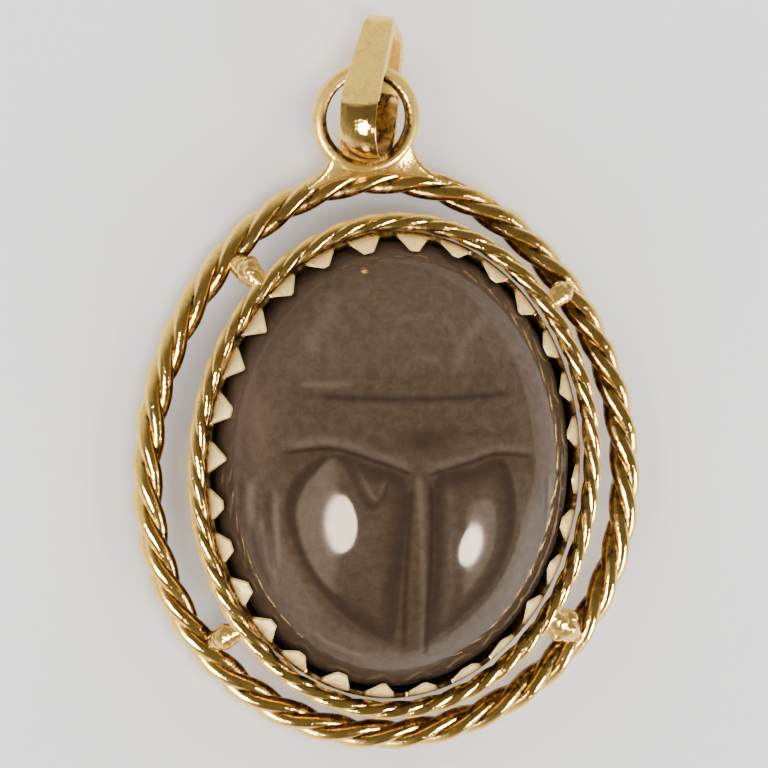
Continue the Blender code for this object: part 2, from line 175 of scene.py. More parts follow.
class WireSettings(bpy.types.PropertyGroup):
    """Twist and run of the two twisted wires."""

    strands: IntProperty(name="Strands", description="Strands in each twisted wire", default=3)
    inner_crossings: IntProperty(name="Inner crossings", description="Strand crossings round the inner wire",
                                 default=45)
    outer_crossings: IntProperty(name="Outer crossings", description="Strand crossings round the outer wire",
                                 default=39)
    strand: FloatProperty(name="Strand", description="A strand's radius as a share of the wire's thickness",
                          default=0.31)
    flatness: FloatProperty(name="Flatness", description="How much the outer wire is rolled flat", default=1.42)
    half_width: FloatProperty(name="Half width", description="Half width of the outer wire's middle line",
                              default=10.47 * MM, unit="LENGTH")
    half_length: FloatProperty(name="Half length", description="Half length of the outer wire's middle line",
                               default=11.93 * MM, unit="LENGTH")
    narrowing: FloatProperty(name="Narrowing", description="How much the outer wire narrows to the ring",
                             default=0.07)
    lean: FloatProperty(name="Lean", description="How far the outer wire leans to the side", default=-0.033)
    shift: FloatVectorProperty(name="Shift", description="Centre of the outer wire", size=2, unit="LENGTH",
                               default=(-0.02 * MM, 0.2 * MM))


class RingSettings(bpy.types.PropertyGroup):
    """Sizes of the hanging ring."""

    outer: FloatProperty(name="Outer", description="Outside diameter", default=4.72 * MM, unit="LENGTH")
    turn: FloatProperty(name="Turn", description="Where the ring stands on the outer wire",
                        default=math.radians(92.2), subtype="ANGLE")
    wire: FloatProperty(name="Wire", description="Thickness of the ring's wire", default=0.66 * MM,
                        unit="LENGTH")
    foot_width: FloatProperty(name="Foot width", description="Width of the soldered foot", default=1.8 * MM,
                              unit="LENGTH")
    foot_depth: FloatProperty(name="Foot depth", description="Depth of the soldered foot", default=0.9 * MM,
                              unit="LENGTH")
    foot_height: FloatProperty(name="Foot height", description="Height of the soldered foot",
                               default=0.8 * MM, unit="LENGTH")
    detail: FloatProperty(name="Detail", description="Size of the facets that blend ring and foot",
                          default=0.045 * MM, unit="LENGTH")


class BailSettings(bpy.types.PropertyGroup):
    """Sizes and pose of the strip bail."""

    width: FloatProperty(name="Width", description="Width of the strip at its bend", default=1.6 * MM,
                         unit="LENGTH")
    top_width: FloatProperty(name="Top width", description="Width of the strip at its top",
                             default=1.28 * MM, unit="LENGTH")
    strip: FloatProperty(name="Strip", description="Thickness of the strip", default=0.28 * MM, unit="LENGTH")
    bend: FloatProperty(name="Bend", description="Radius of the lower bend", default=1.81 * MM,
                        unit="LENGTH")
    corner: FloatProperty(name="Corner", description="Radius of the top corners", default=0.55 * MM,
                          unit="LENGTH")
    top_flat: FloatProperty(name="Top flat", description="Length of the flat top", default=1.09 * MM,
                            unit="LENGTH")
    reach: FloatProperty(name="Reach", description="From the bend's centre to the corners", default=3.4 * MM,
                         unit="LENGTH")
    lean: FloatProperty(name="Lean", description="Lean to the side", default=math.radians(30.6),
                        subtype="ANGLE")
    swing: FloatProperty(name="Swing", description="Swing about the vertical", default=math.radians(19.2),
                         subtype="ANGLE")
    from_ring: FloatVectorProperty(name="From ring", description="Bend's centre from the ring's centre",
                                   default=(-0.08 * MM, 0.36 * MM, 0.88 * MM), unit="LENGTH")
    crease: FloatProperty(name="Crease", description="Where the flat limb ends, from the bend's centre",
                          default=-0.5 * MM, unit="LENGTH")
    lap: FloatProperty(name="Lap", description="Step where the flat limb ends at the bend",
                       default=0.05 * MM, unit="LENGTH")


class StageSettings(bpy.types.PropertyGroup):
    """Floor, lights and camera."""

    floor: FloatVectorProperty(name="Floor", description="Colour of the floor", subtype="COLOR",
                               default=(0.93, 0.915, 0.91))
    surround: FloatProperty(name="Surround", description="Brightness near the horizon", default=0.55)
    overhead: FloatProperty(name="Overhead", description="Brightness overhead", default=0.17)
    softbox: FloatProperty(name="Softbox", description="Brightness of the two small softboxes", default=150.0)
    fill: FloatProperty(name="Fill", description="Brightness of the low lights that whiten the floor",
                        default=8.6)
    fill_top: FloatProperty(name="Fill top", description="Brightness of the light overhead", default=4.6)
    distance: FloatProperty(name="Distance", description="From the camera to the pendant",
                            default=300 * MM, unit="LENGTH")
    field: FloatProperty(name="Field", description="Width of what the camera sees", default=32.54 * MM,
                         unit="LENGTH")
    roll: FloatProperty(name="Roll", description="Roll of the camera", default=0.025, subtype="ANGLE")


class Wave:
    """A socket of a node tree, so that shader maths can be written as an expression."""

    def __init__(self, tree, socket):
        self.tree = tree
        self.socket = socket

    def math(self, operation, *others, first=False):
        """A Math node of this value and others."""
        made = self.tree.nodes.new("ShaderNodeMath")
        made.operation = operation
        values = [*others, self] if first else [self, *others]
        for slot, value in zip(made.inputs, values):
            plug(self.tree, slot, value)
        return Wave(self.tree, made.outputs[0])

    def __add__(self, other):
        return self.math("ADD", other)

    def __radd__(self, other):
        return self.math("ADD", other, first=True)

    def __sub__(self, other):
        return self.math("SUBTRACT", other)

    def __rsub__(self, other):
        return self.math("SUBTRACT", other, first=True)

    def __mul__(self, other):
        return self.math("MULTIPLY", other)

    def __rmul__(self, other):
        return self.math("MULTIPLY", other, first=True)

    def __truediv__(self, other):
        return self.math("DIVIDE", other)

    def clamped(self):
        """The value kept between 0 and 1."""
        return self.math("MAXIMUM", 0.0).math("MINIMUM", 1.0)


def plug(tree, slot, value):
    """Set a socket to a number or a colour, or link it."""
    if isinstance(value, Wave):
        tree.links.new(value.socket, slot)
    elif isinstance(value, bpy.types.NodeSocket):
        tree.links.new(value, slot)
    elif slot.type == "RGBA" and len(value) == 3:
        slot.default_value = (*value, 1.0)
    else:
        slot.default_value = value


class Finish:
    """A material under construction."""

    def __init__(self, name):
        self.material = bpy.data.materials.new(name)
        self.material.use_nodes = True
        self.tree = self.material.node_tree
        self.shader = self.tree.nodes["Principled BSDF"]

    def node(self, kind, settings=None, values=None, output=0):
        """A node of one type, with its settings first and then its sockets; gives one output as a value."""
        made = self.tree.nodes.new(kind)
        for name, value in (settings or {}).items():
            setattr(made, name, value)
        for name, value in (values or {}).items():
            plug(self.tree, made.inputs[name], value)
        return Wave(self.tree, made.outputs[output])

    def place(self):
        """Object coordinates."""
        return self.node("ShaderNodeTexCoord", output=3)

    def noise(self, scale, detail=3.0, roughness=0.5, distortion=0.0):
        """Noise of a given number of spots in a millimetre."""
        values = {"Vector": self.place(), "Scale": scale / MM, "Detail": detail, "Roughness": roughness,
                  "Distortion": distortion}
        return self.node("ShaderNodeTexNoise", {"noise_dimensions": "3D"}, values)

    def attribute(self, name):
        """A number kept on the mesh's points."""
        return self.node("ShaderNodeAttribute", {"attribute_name": name}, output=2)

    def mix(self, factor, first, second):
        """Two colours mixed."""
        made = self.tree.nodes.new("ShaderNodeMix")
        made.data_type = "RGBA"
        plug(self.tree, made.inputs[0], factor)
        plug(self.tree, made.inputs[6], first)
        plug(self.tree, made.inputs[7], second)
        return Wave(self.tree, made.outputs[2])

    def bump(self, height, distance):
        """A Bump node for the shader's Normal."""
        return self.node("ShaderNodeBump", None, {"Height": height, "Distance": distance})

    def set(self, **values):
        """Sockets of the Principled shader, by name with underscores for spaces."""
        for name, value in values.items():
            plug(self.tree, self.shader.inputs[name.replace("_", " ")], value)
        return self.material


def stone_finish(settings):
    """Smoky polished stone: cloudy body, painted shade in the cuts, ridges painted pale as frost and as a
    highlight, and a fine worn grain.
    """
    finish = Finish("smoky_stone")
    cloud = finish.noise(0.16, 3.0, 0.55, 0.6)
    grain = finish.noise(3.2, 2.0, 0.6)
    veil = finish.noise(0.7, 4.0, 0.6, 0.8)
    streak = finish.noise(2.3, 5.0, 0.7, 0.4)
    frost_and_highlight = finish.attribute("frost_and_highlight")
    painted_shade = finish.attribute("painted_shade")
    warm = finish.attribute("warm")
    body = finish.mix((cloud * 0.8 + veil * 0.5 - 0.25).clamped(), settings.colour,
                      [0.78 * channel for channel in settings.colour])
    body = finish.mix(warm, body, (0.19, 0.115, 0.085))
    body = finish.mix((streak * 2.4 - 1.05).clamped() * 0.36, body, settings.pale)
    body = finish.mix((1.15 - streak * 2.4).clamped() * 0.5, body, settings.deep_tone_and_shade)
    # Pale where frosted and as a painted highlight along ridges, lips and the flank.
    mottle = (frost_and_highlight * (0.25 + streak * 1.2)).clamped()
    body = finish.mix(mottle, body, settings.pale)
    # Painted shade: the deep colour in the cuts, the hollow and towards the rim.
    body = finish.mix((painted_shade * 0.85).clamped(), body, settings.deep_tone_and_shade)
    rough = 0.05 + frost_and_highlight * 0.08 + painted_shade * 0.05 + grain * 0.03
    height = grain * 0.12 + veil * frost_and_highlight * 0.6
    return finish.set(
        Base_Color=body,
        Roughness=rough.clamped(),
        IOR=1.26,
        Specular_Tint=(1.0, 0.8, 0.62, 1.0),
        Normal=finish.bump(height, 0.004 * MM),
    )


def gold_finish(settings, name, roughness, speckle=0.0, shaded=0.0, rubbed_and_lit=1.0, pale=False):
    """Worn yellow gold: tarnish and painted shade in the notches and shaded parts, a matte rubbed finish that
    also stands for painted light, uneven polish and fine dents.
    """
    finish = Finish(name)
    patch = finish.noise(0.55, 3.0, 0.55, 0.4)
    mottle = finish.noise(2.4, 4.0, 0.65, 0.6)
    fine = finish.noise(7.0, 2.0, 0.6)
    dent = finish.noise(1.6, 2.0, 0.5)
    # The crease layer holds notch tarnish and painted shade; the matte layer holds the rubbed finish and
    # painted light.
    crease = (finish.attribute("crease") + shaded).clamped()
    matte_and_lit = (finish.attribute("matte_and_lit") * rubbed_and_lit * (0.55 + mottle * 0.8)).clamped()
    shade = [0.88 * channel for channel in settings.colour]
    rosy = (settings.colour[0], 0.9 * settings.colour[1], 0.86 * settings.colour[2])
    body = finish.mix((patch * 1.6 - 0.4).clamped(), shade, settings.colour)
    body = finish.mix((dent * 1.8 - 0.75).clamped(), body, rosy)
    # Matte parts take a paler colour, partly finish and partly painted light.
    light = settings.pale if pale else settings.rubbed_and_lit
    body = finish.mix(matte_and_lit, body, light)
    if pale:
        body = finish.mix((mottle * 3.6 - 1.7).clamped() * 0.85, body, settings.rubbed_and_lit)
    dusty = [0.62 * channel for channel in light]
    body = finish.mix(((fine * 2.4 - 1.0).clamped() * matte_and_lit * 0.55).clamped(), body, dusty)
    # Tarnish and painted shade in the creases, and random tarnish patches.
    tarnish_and_shade = (crease * (mottle * 2.6 - 0.45) + (mottle * 4.0 - 2.15).clamped() * 0.5).clamped()
    body = finish.mix(tarnish_and_shade, body, settings.tarnish_and_shade_colour)
    rough = roughness + (patch - 0.5) * 0.14 + crease * 0.16 + matte_and_lit * 0.2 + (fine - 0.5) * 0.06
    height = dent * 1.0 + mottle * 0.9 + fine * (0.14 + speckle)
    return finish.set(
        Base_Color=body,
        Metallic=(1.0 - matte_and_lit * (0.8 if pale else 0.5)).clamped(),
        Roughness=rough.clamped(),
        Normal=finish.bump(height, 0.026 * MM),
    )


def soft_step(value):
    """0 below 0, 1 above 1 and a smooth rise between."""
    value = np.clip(value, 0.0, 1.0)
    return value * value * (3.0 - 2.0 * value)


def smooth_run(points, closed=False, steps=6):
    """A smooth curve through a few places."""
    places = [np.array(point, float) for point in points]
    if closed:
        places = [places[-1], *places, places[0], places[1]]
    else:
        places = [2 * places[0] - places[1], *places, 2 * places[-1] - places[-2]]
    run = []
    for before, here, there, after in zip(places, places[1:], places[2:], places[3:]):
        for step in range(steps):
            t = step / steps
            run.append(0.5 * (2 * here + (there - before) * t
                              + (2 * before - 5 * here + 4 * there - after) * t**2
                              + (3 * here - before - 3 * there + after) * t**3))
    run.append(places[-2])
    return np.array(run)


def from_run(x, y, run):
    """Distance of each place from a curve, which side it lies on, and the share of the curve passed."""
    nearest = np.full(x.shape, np.inf)
    side = np.zeros(x.shape)
    share = np.zeros(x.shape)
    steps = np.linalg.norm(np.diff(run, axis=0), axis=1)
    passed = np.concatenate([[0.0], np.cumsum(steps)])
    for index, (start, end) in enumerate(zip(run, run[1:])):
        way = end - start
        length = steps[index]
        if length < 1e-9:
            continue
        along = np.clip(((x - start[0]) * way[0] + (y - start[1]) * way[1]) / length**2, 0.0, 1.0)
        off_x = x - start[0] - along * way[0]
        off_y = y - start[1] - along * way[1]
        distance = np.hypot(off_x, off_y)
        closer = distance < nearest
        nearest = np.where(closer, distance, nearest)
        side = np.where(closer, np.sign(way[0] * off_y - way[1] * off_x), side)
        share = np.where(closer, (passed[index] + along * length) / passed[-1], share)
    return nearest, side, share


def within(x, y, run):
    """Distance inside a closed outline, negative outside."""
    nearest, _, _ = from_run(x, y, run)
    inside = np.zeros(x.shape, bool)
    for (ax, ay), (bx, by) in zip(run, np.roll(run, -1, axis=0)):
        crosses = (ay > y) != (by > y)
        slope = (bx - ax) / (by - ay) if by != ay else 0.0
        inside ^= crosses & (x < ax + (y - ay) * slope)
    return np.where(inside, nearest, -nearest)


class Carving:
    """The carved surface over the dome: its change of height, its painted shade in the cuts, its pale frost and
    painted highlight, and where it is warm.
    """

    def __init__(self, x, y):
        self.x = x
        self.y = y
        self.height = np.zeros(x.shape)
        self.painted_shade = np.zeros(x.shape)
        self.frost_and_highlight = np.zeros(x.shape)
        self.warm = np.zeros(x.shape)

    def ends(self, share, fade):
        """Fade of a line towards its two ends."""
        return soft_step(share / fade) * soft_step((1.0 - share) / fade)

    def groove(self, points, half_width, depth, painted_shade=0.6, fade=0.12, lip=0.0):
        """A cut line painted dark as shade in the cut, with a raised lip on its left as it is followed, painted
        pale as frost and highlight.
        """
        distance, side, share = from_run(self.x, self.y, smooth_run(points))
        here = self.ends(share, fade)
        cut = np.exp(-((distance / half_width) ** 2)) * here
        self.height -= depth * cut
        self.painted_shade = np.maximum(self.painted_shade, painted_shade * cut)
        if lip:
            beyond = distance * side
            ridge = np.exp(-(((beyond - 1.9 * half_width) / (0.9 * half_width)) ** 2)) * here
            self.height += lip * ridge
            self.frost_and_highlight = np.maximum(self.frost_and_highlight, 0.8 * ridge)

    def ridge(self, points, half_width, rise, frost_and_highlight=0.5, fade=0.15):
        """A raised line, painted pale as worn frost and as a highlight along it."""
        distance, _, share = from_run(self.x, self.y, smooth_run(points))
        here = np.exp(-((distance / half_width) ** 2)) * self.ends(share, fade)
        self.height += rise * here
        self.frost_and_highlight = np.maximum(self.frost_and_highlight, frost_and_highlight * here)

    def step(self, points, drop, toward=1.0, width=0.1, reach=1.2, painted_shade=0.5):
        """A wall cut down on one side of a line, whose floor climbs back to the dome, with painted shade along
        the foot of the wall.
        """
        distance, side, share = from_run(self.x, self.y, smooth_run(points))
        beyond = distance * side * toward
        floor = soft_step(beyond / width) * (1.0 - soft_step((beyond - width) / reach))
        floor = np.where(beyond > 0, floor, 0.0) * self.ends(share, 0.06)
        self.height -= drop * floor
        close = np.exp(-(((beyond - width) / (1.3 * width)) ** 2)) * self.ends(share, 0.06)
        self.painted_shade = np.maximum(self.painted_shade, painted_shade * close)

    def case(self, points, lens, tilt):
        """One wing case: a trough inside its outline with a tilted lens left standing in it, painted shade in
        the trough's crescent and the lens's outer side painted pale as frost and highlight.
        """
        case = within(self.x, self.y, smooth_run(points, closed=True))
        stand = within(self.x, self.y, smooth_run(lens, closed=True))
        floor = soft_step(case / 0.9)
        lifted = soft_step(stand / 0.6 + 0.5)
        trough = floor * (1.0 - lifted)
        self.height -= 0.012 * trough
        middle = np.mean(np.array(lens), axis=0)
        self.height += lifted * (0.012 - tilt * (self.x - middle[0]))
        crescent = soft_step(case / 0.2) * (1.0 - soft_step(stand / 0.12 + 0.5))
        crescent *= np.exp(-((np.minimum(case, 2.0) - 0.35) / 0.6) ** 2)
        self.painted_shade = np.maximum(self.painted_shade, 0.8 * crescent)
        edge = np.exp(-((stand - 0.1) / 0.17) ** 2)
        outer = soft_step((np.sign(middle[0]) * (self.x - middle[0]) + 0.55) / 0.5)
        self.frost_and_highlight = np.maximum(self.frost_and_highlight, 0.3 * edge * outer)
        self.frost_and_highlight = np.maximum(self.frost_and_highlight, 0.62 * soft_step(stand / 0.12) * outer)

    def flank(self, outline):
        """The broad bevel that runs round the lower wing cases, below their outline, painted pale as frost and
        as a painted reflection on its slope.
        """
        outward = np.maximum(0.0, -within(self.x, self.y, smooth_run(outline, closed=True)))
        low = soft_step((-0.6 - self.y) / 2.0)
        band = soft_step(outward / 0.4) * (1.0 - soft_step((outward - 1.0) / 0.6)) * low
        self.height -= low * 0.1 * soft_step(outward / 1.3)
        self.frost_and_highlight = np.maximum(self.frost_and_highlight, 0.38 * band)


def moved(points, across, along):
    """A line shifted as a whole."""
    return [(px + across, py + along) for px, py in points]


def carve(x, y):
    """The whole carving at places on the stone, in millimetres."""
    work = Carving(x, y)
    work.flank([*CASE_LEFT, (-0.05, -7.5), *reversed(CASE_RIGHT)])
    left = [(-0.6, 0.0), (-2.2, 0.95), (-3.7, 1.45), *CASE_LEFT[:-1], (-0.8, -7.15), (-0.78, -4.0)]
    right = [(0.3, 0.05), (2.0, 0.5), (3.0, 0.72), *CASE_RIGHT[:-1], (0.48, -7.05), (0.3, -4.0)]
    work.case(left, LENS_LEFT, tilt=0.015)
    work.case(right, LENS_RIGHT, tilt=-0.015)
    for line, ridge_lift, ridge_width, frost_and_highlight, groove_width, painted_shade in (
            (VEE_LEFT, 0.16, 0.2, 0.5, 0.12, 1.0), (VEE_RIGHT, 0.14, 0.18, 0.45, 0.11, 0.9)):
        work.step(line, drop=0.02, toward=-1.0, width=0.34, reach=1.5, painted_shade=0.3)
        work.ridge(moved(line, 0.0, ridge_lift), ridge_width, rise=0.008, frost_and_highlight=frost_and_highlight)
        work.groove(moved(line, 0.0, -0.12), groove_width, depth=0.006, painted_shade=painted_shade)
    work.groove(SUTURE_LEFT, 0.16, depth=0.012, painted_shade=0.85, fade=0.05)
    work.groove(SUTURE_RIGHT, 0.17, depth=0.02, painted_shade=1.0, fade=0.05)
    work.ridge(SUTURE_MIDDLE, 0.16, rise=0.012, frost_and_highlight=0.42, fade=0.05)
    work.ridge(moved(SUTURE_RIGHT, 0.75, 0.0), 0.3, rise=0.004, frost_and_highlight=0.28, fade=0.1)
    work.groove(COLLAR_LINE, 0.14, depth=0.02, painted_shade=0.8, fade=0.15)
    work.ridge(COLLAR_RIDGE, 0.13, rise=0.01, frost_and_highlight=0.5, fade=0.3)
    work.groove(FAINT_LINE, 0.12, depth=0.02, painted_shade=0.35, fade=0.3)
    work.groove(MARK_LEFT, 0.17, depth=0.01, painted_shade=0.75, fade=0.06)
    work.ridge(MARK_EDGE, 0.1, rise=0.004, frost_and_highlight=0.5, fade=0.1)
    for line in LEG_LINES:
        work.groove(line, 0.14, depth=0.05, painted_shade=0.6, fade=0.25, lip=0.015)
    work.groove(FLANK_LINE, 0.12, depth=0.03, painted_shade=0.5, fade=0.2, lip=0.01)
    work.ridge(HEAD_ARCH, 0.24, rise=0.02, frost_and_highlight=0.3)
    work.ridge(HEAD_PLATE, 0.15, rise=0.015, frost_and_highlight=0.3)
    work.ridge(CHEEK_RIGHT, 0.35, rise=0.03, frost_and_highlight=0.4)
    work.ridge(CHEEK_LEFT, 0.4, rise=0.03, frost_and_highlight=0.35)
    head = soft_step((y - 4.3) / 0.6)
    work.frost_and_highlight = np.maximum(work.frost_and_highlight, 0.14 * head)
    # Painted shade in the hollow between the collar and the wing cases.
    wide = 0.5 + 0.9 * soft_step((y - 1.0) / 1.2)
    hollow = np.exp(-(((x - 0.1) / wide) ** 2 + ((y - 1.75) / 0.55) ** 2))
    work.height -= 0.03 * hollow
    work.painted_shade = np.maximum(work.painted_shade, 0.75 * hollow)
    # Darker towards the tail, across the middle of the stone.
    work.painted_shade = np.maximum(work.painted_shade, 0.3 * soft_step((-2.5 - y) / 3.0) * soft_step((5.0 - np.abs(x)) / 1.5))
    work.warm = 0.3 * np.exp(-(((x + 6.6) / 0.8) ** 2 + ((y - 3.4) / 2.4) ** 2))
    return work


def finished_object(name, data, *looks, node=None, slot="gold"):
    """Link a piece, give it its finishes, fix it to the pendant and hide the node that it stands for."""
    made = bpy.data.objects.new(name, data)
    bpy.context.scene.collection.objects.link(made)
    for look in looks:
        data.materials.append(look)
    data.shade_smooth()
    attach(made, BODY)
    if node is not None:
        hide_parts(node)
    return made


def mesh_from(work, name):
    """Close a bmesh into a mesh."""
    data = bpy.data.meshes.new(name)
    work.to_mesh(data)
    work.free()
    return data


def keep_number(data, name, values):
    """Keep a number for each point of a mesh."""
    layer = data.attributes.new(name, "FLOAT", "POINT")
    layer.data.foreach_set("value", np.asarray(values, np.float32))


def places_of(data):
    """Every point of a mesh as an array."""
    places = np.empty(len(data.vertices) * 3)
    data.vertices.foreach_get("co", places)
    return places.reshape(-1, 3)


def gold_look(kind):
    """The gold finish of one kind, made once."""
    settings = bpy.context.scene.pendant_gold
    known = bpy.data.materials.get("gold_" + kind)
    if known is not None:
        return known
    if kind == "satin":
        return gold_finish(settings, "gold_satin", settings.satin, 0.25)
    # The pale look stands for teeth that are painted pale, as lit.
    if kind == "pale":
        return gold_finish(settings, "gold_pale", settings.satin, 0.1, pale=True)
    # The inside look is darkened all over as painted shade and has no matte part.
    if kind == "inside":
        return gold_finish(settings, "gold_inside", settings.satin, 0.1, 0.8, 0.0)
    return gold_finish(settings, "gold_" + kind, settings.polish)


def dome_height(settings, x, y):
    """Height of the uncarved dome at places in metres."""
    girdle = STONE_LOW.z + settings.side
    share = np.minimum(1.0, np.hypot(x / STONE_HALF_WIDTH, y / STONE_HALF_LENGTH))
    dome = np.maximum(0.0, 1.0 - share**settings.fullness) ** settings.shoulder
    return girdle + (STONE_HIGH.z - girdle) * dome, share


class PENDANT_OT_stone(bpy.types.Operator):
    """Carve the scarab stone"""

    bl_idname = "pendant.stone"
    bl_label = "Scarab stone"

    def execute(self, context):
        settings = context.scene.pendant_stone
        work = bmesh.new()
        bmesh.ops.create_grid(work, x_segments=settings.facets, y_segments=settings.facets, size=1.0)
        rim = [edge for edge in work.edges if edge.is_boundary]
        # The grid's height holds the level for now: 0 on the dome, -1 at the side's middle, -2 underneath
        for level in (1, 2):
            grown = bmesh.ops.extrude_edge_only(work, edges=rim)["geom"]
            rim = [part for part in grown if isinstance(part, bmesh.types.BMEdge) and part.is_boundary]
            for vert in {vert for edge in rim for vert in edge.verts}:
                vert.co.z = -level
        bmesh.ops.edgeloop_fill(work, edges=rim)
        data = mesh_from(work, "scarab_stone_carved")
        flat = places_of(data)
        across = flat[:, 0] * np.sqrt(1.0 - flat[:, 1] ** 2 / 2.0)
        along = flat[:, 1] * np.sqrt(1.0 - flat[:, 0] ** 2 / 2.0)
        x = across * STONE_HALF_WIDTH
        y = along * STONE_HALF_LENGTH
        top, share = dome_height(settings, x, y)
        carving = carve(x / MM, y / MM)
        inland = soft_step((1.0 - share) / 0.05)
        top = top + settings.carving * carving.height * MM * inland
        level = -flat[:, 2]
        draw_in = 1.0 - settings.foot_inset / STONE_HIGH.x * (level > 1.5)
        z = np.where(level < 0.5, top, np.where(level < 1.5, STONE_LOW.z + settings.side / 2, STONE_LOW.z))
        places = np.stack([x * draw_in, y * draw_in, z], axis=1)
        data.vertices.foreach_set("co", places.ravel())
        # Painted shadow of the bezel's teeth, darkening the stone towards its rim.
        shaded_rim = 0.55 * soft_step((share - 0.8) / 0.2)
        keep_number(data, "painted_shade", np.maximum(carving.painted_shade * inland, shaded_rim))
        keep_number(data, "frost_and_highlight", carving.frost_and_highlight * inland)
        keep_number(data, "warm", carving.warm)
        data.update()
        finished_object("stone", data, stone_finish(settings), node="scarab_stone", slot="smoky_stone")
        work = bmesh.new()
        work.from_mesh(data)
        bmesh.ops.recalc_face_normals(work, faces=work.faces)
        work.to_mesh(data)
        work.free()
        return {"FINISHED"}


class PENDANT_OT_bezel(bpy.types.Operator):
    """Make the bezel cup with its leaning teeth"""

    bl_idname = "pendant.bezel"
    bl_label = "Bezel cup"
    columns = 20
    foot_edge = 0.06 * MM
    painted_shade_height = 0.16 * MM
    sharp_angle = math.radians(38)

    def execute(self, context):
        settings = context.scene.pendant_bezel
        count = settings.teeth * self.columns
        outer = CUP_HIGH.x - STONE_HALF_WIDTH
        collar = settings.seat + settings.wall
        rim = CUP_HIGH.z - settings.tooth_height
        turns = even_turns(stone_outline, count)
        chance = random.Random(5)
        teeth = [(chance.uniform(-1, 1), chance.uniform(-1, 1), chance.uniform(-1, 1))
                 for _ in range(settings.teeth)]

        def tooth_at(column):
            tooth, within_pitch = divmod(column, self.columns)
            tall, leaning, skewed = teeth[tooth]
            across = abs(2.0 * within_pitch / self.columns - 1.0 + 0.1 * skewed)
            share = min(1.0, max(0.0, (0.7 - across) / (0.54 + 0.1 * tall)))
            return share, 1.0 + 0.12 * tall, 1.0 + 0.22 * leaning

        # Each ring gives the distance outside the stone and the height for one column of the cup
        def outside(level):
            return lambda column: (outer, level)

        def tooth_path(rise, thickness):
            def at(column):
                share, tall, leaning = tooth_at(column)
                up = share * rise
                lean = settings.tooth_lean * leaning * share * rise**1.6
                height = rim + settings.tooth_height * tall * up
                return (collar - lean - thickness * (1.0 - 0.4 * up), height - 0.35 * thickness * up)
            return at

        rings = [outside(CUP_LOW.z + self.foot_edge), outside(rim - settings.shoulder_drop - 0.05 * MM)]
        rings.append(lambda column: (outer - 0.04 * MM, rim - settings.shoulder_drop + 0.05 * MM))
        rings.append(lambda column: (collar + 0.05 * MM, rim - 0.06 * MM))
        for rise in (0.0, 0.3, 0.6, 0.85, 1.0):
            rings.append(tooth_path(rise, 0.0))
        for rise in (1.0, 0.85, 0.5, 0.0):
            rings.append(tooth_path(rise, settings.tooth_thickness))
        rings.append(lambda column: (settings.seat, rim - 0.3 * MM))
        rings.append(lambda column: (settings.seat, CUP_LOW.z + settings.plate))
        work = bmesh.new()
        first = bmesh.ops.create_circle(work, segments=count, radius=1.0)["verts"]
        base = list({edge for vert in first for edge in vert.link_edges})
        loops = [in_turn(first)]
        edges = base
        for _ in rings[1:]:
            edges, verts = grow(work, edges)
            loops.append(in_turn(verts))
        for ring, loop in zip(rings, loops):
            for column, vert in enumerate(loop):
                reach, height = ring(column)
                turn = turns[column]
                vert.co = ((STONE_HALF_WIDTH + reach) * math.cos(turn),
                           (STONE_HALF_LENGTH + reach) * math.sin(turn), height)
        bmesh.ops.edgeloop_fill(work, edges=edges)
        foot = bmesh.ops.edgeloop_fill(work, edges=base)["faces"]
        bmesh.ops.inset_region(work, faces=foot, thickness=self.foot_edge, depth=self.foot_edge)
        bmesh.ops.recalc_face_normals(work, faces=work.faces)
        data = mesh_from(work, "bezel_cup_toothed")
        places = places_of(data)
        # Painted shade on the cup below the teeth; the teeth above are painted pale and made matte, as lit.
        low = soft_step((rim + self.painted_shade_height - places[:, 2]) / self.painted_shade_height)
        keep_number(data, "crease", 0.95 * low)
        keep_number(data, "matte_and_lit", 1.0 - low)
        for face in data.polygons:
            face.material_index = int(face.center.z > rim + self.painted_shade_height / 2)
        finished_object("bezel", data, gold_look("polished"), gold_look("pale"), node="bezel_cup")
        data.set_sharp_from_angle(angle=self.sharp_angle)
        return {"FINISHED"}


def stone_outline(turn):
    """The stone's outline, which the bezel follows."""
    return Vector((STONE_HALF_WIDTH * math.cos(turn), STONE_HALF_LENGTH * math.sin(turn), 0))


def in_turn(verts):
    """Points in their order round the middle, from the right and anticlockwise."""
    return sorted(verts, key=lambda vert: math.atan2(vert.co.y, vert.co.x) % (2 * math.pi))


def grow(work, edges):
    """Extrude a run of edges; gives the new run's edges and points."""
    grown = bmesh.ops.extrude_edge_only(work, edges=edges)["geom"]
    verts = [part for part in grown if isinstance(part, bmesh.types.BMVert)]
    known = set(verts)
    edges = [part for part in grown if isinstance(part, bmesh.types.BMEdge)
             and all(vert in known for vert in part.verts)]
    return edges, verts


def even_turns(outline, count):
    """Turn values that step evenly along a closed outline, given as a function of the turn."""
    fine = np.linspace(0.0, 2.0 * math.pi, 2000)
    places = np.array([outline(turn) for turn in fine])
    steps = np.linalg.norm(np.diff(places, axis=0), axis=1)
    travelled = np.concatenate([[0.0], np.cumsum(steps)])
    wanted = travelled[-1] * np.arange(count) / count
    return np.interp(wanted, travelled, fine)


def inner_wire_line(turn):
    """Centre line of the wire that hugs the bezel."""
    half_width = (INNER_HIGH.x - INNER_LOW.x - INNER_WIRE) / 2
    half_length = (INNER_HIGH.y - INNER_LOW.y - INNER_WIRE) / 2
    return Vector((half_width * math.cos(turn), half_length * math.sin(turn), (INNER_LOW.z + INNER_HIGH.z) / 2))


def outer_wire_line(turn):
    """Centre line of the outer wire: an egg, narrower towards the ring, leaning a little."""
    settings = bpy.context.scene.pendant_wires
    along = settings.half_length * math.sin(turn)
    across = settings.half_width * math.cos(turn) * (1.0 - settings.narrowing * math.sin(turn))
    return Vector((settings.shift[0] + across + settings.lean * along, settings.shift[1] + along,
                   (OUTER_LOW.z + OUTER_HIGH.z) / 2))


SECTIONS_A_TURN = 30


